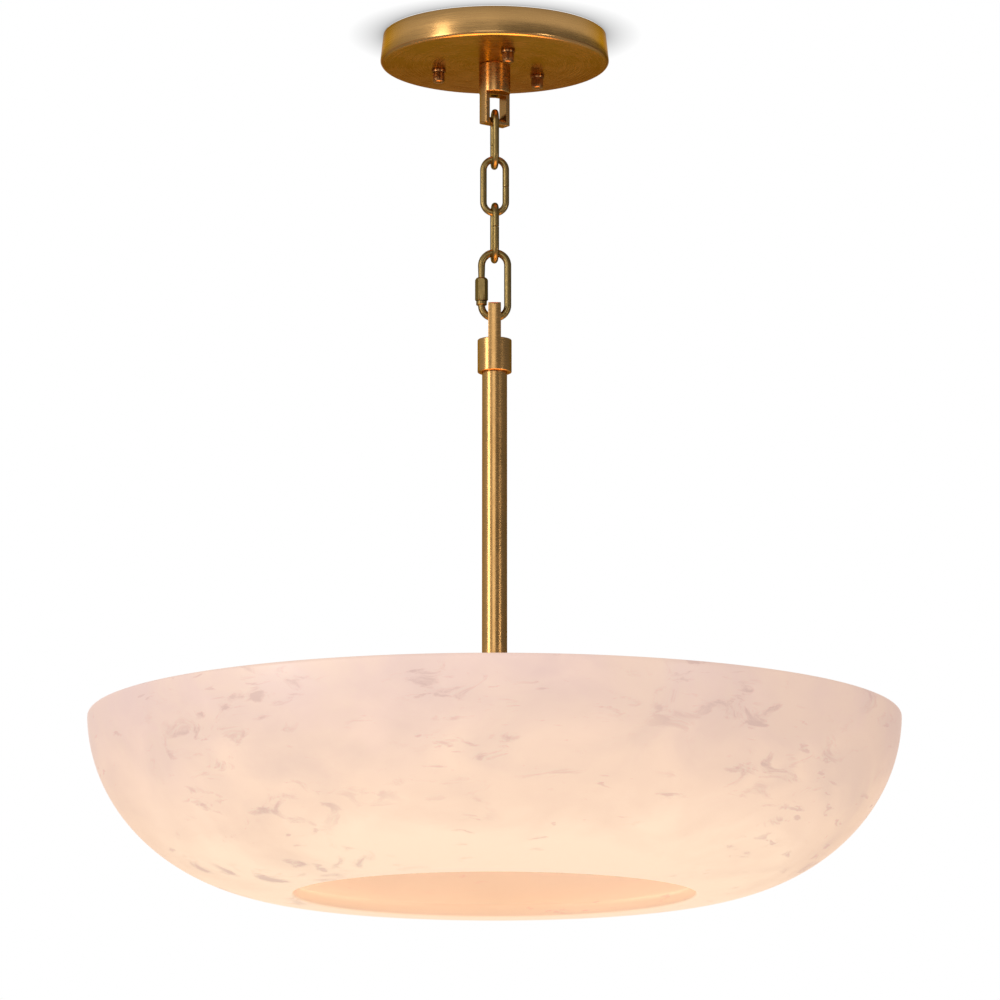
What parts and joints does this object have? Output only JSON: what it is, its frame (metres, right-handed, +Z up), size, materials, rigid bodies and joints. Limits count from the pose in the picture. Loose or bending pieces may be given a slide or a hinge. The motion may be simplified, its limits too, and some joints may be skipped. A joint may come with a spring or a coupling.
{
  "type": "alabaster bowl pendant",
  "caption": "Open-bottomed alabaster bowl hung from a stem, screw link, chain and round canopy, lit from inside.",
  "frame": {"origin": "middle of the ceiling plate's slot pattern, on the ceiling plane", "axes": "+Z up along the hanging axis, -Y towards the front of the picture, +X to its right"},
  "size_m": [0.6096, 0.6096, 0.6637],
  "materials": {
    "zinc_steel": "zinc plated",
    "green_screw": "green chromate",
    "brushed_brass": "brushed, aged warm",
    "knurled_brass": "fluted, aged",
    "antique_brass": "antique olive",
    "alabaster": "polished, translucent, veined",
    "nylon": "matte",
    "plain_brass": "turned",
    "porcelain": "glazed",
    "nickel": "nickel plated",
    "bulb_glass": "frosted, lit"
  },
  "bodies": {
    "ceiling_fixture": {"mounting_plate": "zinc_steel", "mounting_studs": "zinc_steel", "stud_locknuts": "zinc_steel", "ground_screw": "green_screw", "canopy": "brushed_brass", "canopy_loop": "brushed_brass", "loop_nipple": "zinc_steel", "loop_washer": "zinc_steel", "loop_nut": "zinc_steel"},
    "knob_left": {"canopy_knob_left": "knurled_brass"},
    "knob_front": {"canopy_knob_front": "knurled_brass"},
    "knob_right": {"canopy_knob_right": "knurled_brass"},
    "chain_upper": {"chain_link_upper": "antique_brass"},
    "chain_middle": {"chain_link_middle": "antique_brass"},
    "chain_lower": {"chain_link_lower": "antique_brass"},
    "screw_link": {"quick_link_body": "antique_brass"},
    "screw_link_sleeve": {"quick_link_sleeve": "antique_brass"},
    "stem_and_bowl": {"stem_eye": "brushed_brass", "stem_tube": "brushed_brass", "stem_jam_nut": "brushed_brass", "stem_lock_nut": "zinc_steel", "bowl": "alabaster", "wall_inserts": "plain_brass", "wall_pads": "nylon", "wall_screws": "zinc_steel", "bowl_arm_back": "zinc_steel", "bowl_arm_left": "zinc_steel", "bowl_arm_right": "zinc_steel", "arm_screws": "zinc_steel", "hub_body": "brushed_brass", "hub_cover": "brushed_brass", "hub_cover_screws": "zinc_steel", "lamp_nipples": "plain_brass", "socket_contacts": "plain_brass", "lamp_husk_right": "brushed_brass", "lamp_socket_right": "porcelain", "screw_shell_right": "plain_brass", "lamp_husk_left": "brushed_brass", "lamp_socket_left": "porcelain", "screw_shell_left": "plain_brass", "lamp_husk_front": "brushed_brass", "lamp_socket_front": "porcelain", "screw_shell_front": "plain_brass"},
    "bulb_right": {"bulb_cap_right": "nickel", "bulb_glass_right": "bulb_glass"},
    "bulb_left": {"bulb_cap_left": "nickel", "bulb_glass_left": "bulb_glass"},
    "bulb_front": {"bulb_cap_front": "nickel", "bulb_glass_front": "bulb_glass"}
  },
  "joints": [
    {"name": "upper_link_swing", "type": "hinge", "parent": "ceiling_fixture", "child": "chain_upper", "pos_m": [0, 0, -0.06925], "axis": [0.9945, 0.1045, 0], "range_deg": [-20, 20]},
    {"name": "middle_link_swing", "type": "hinge", "parent": "chain_upper", "child": "chain_middle", "pos_m": [0, 0, -0.1029], "axis": [0, -1, 0], "range_deg": [-20, 20]},
    {"name": "lower_link_swing", "type": "hinge", "parent": "chain_middle", "child": "chain_lower", "pos_m": [0, 0, -0.13968], "axis": [0.9945, 0.1045, 0], "range_deg": [-20, 20]},
    {"name": "screw_link_swing", "type": "hinge", "parent": "chain_lower", "child": "screw_link", "pos_m": [0, 0, -0.17646], "axis": [0, -1, 0], "range_deg": [-20, 20]},
    {"name": "bowl_swing", "type": "hinge", "parent": "screw_link", "child": "stem_and_bowl", "pos_m": [0, 0, -0.22184], "axis": [1, 0, 0], "range_deg": [-20, 20]},
    {"name": "sleeve_travel", "type": "slide", "parent": "screw_link", "child": "screw_link_sleeve", "axis": [0, 0, 1], "range_m": [0, 0.009]},
    {"name": "knob_left_turn", "type": "hinge", "parent": "ceiling_fixture", "child": "knob_left", "pos_m": [-0.04303, 0.01316, -0.029], "axis": [0, 0, 1], "range_deg": [0, 3600]},
    {"name": "knob_right_turn", "type": "hinge", "parent": "ceiling_fixture", "child": "knob_right", "pos_m": [0.03291, 0.03069, -0.029], "axis": [0, 0, 1], "range_deg": [0, 3600]},
    {"name": "knob_front_turn", "type": "hinge", "parent": "ceiling_fixture", "child": "knob_front", "pos_m": [0.01012, -0.04385, -0.029], "axis": [0, 0, 1], "range_deg": [0, 3600]},
    {"name": "bulb_right_travel", "type": "slide", "parent": "stem_and_bowl", "child": "bulb_right", "axis": [0.866, 0.5, 0], "range_m": [0, 0.026]},
    {"name": "bulb_left_travel", "type": "slide", "parent": "stem_and_bowl", "child": "bulb_left", "axis": [-0.866, 0.5, 0], "range_m": [0, 0.026]},
    {"name": "bulb_front_travel", "type": "slide", "parent": "stem_and_bowl", "child": "bulb_front", "axis": [0, -1, 0], "range_m": [0, 0.026]}
  ]
}
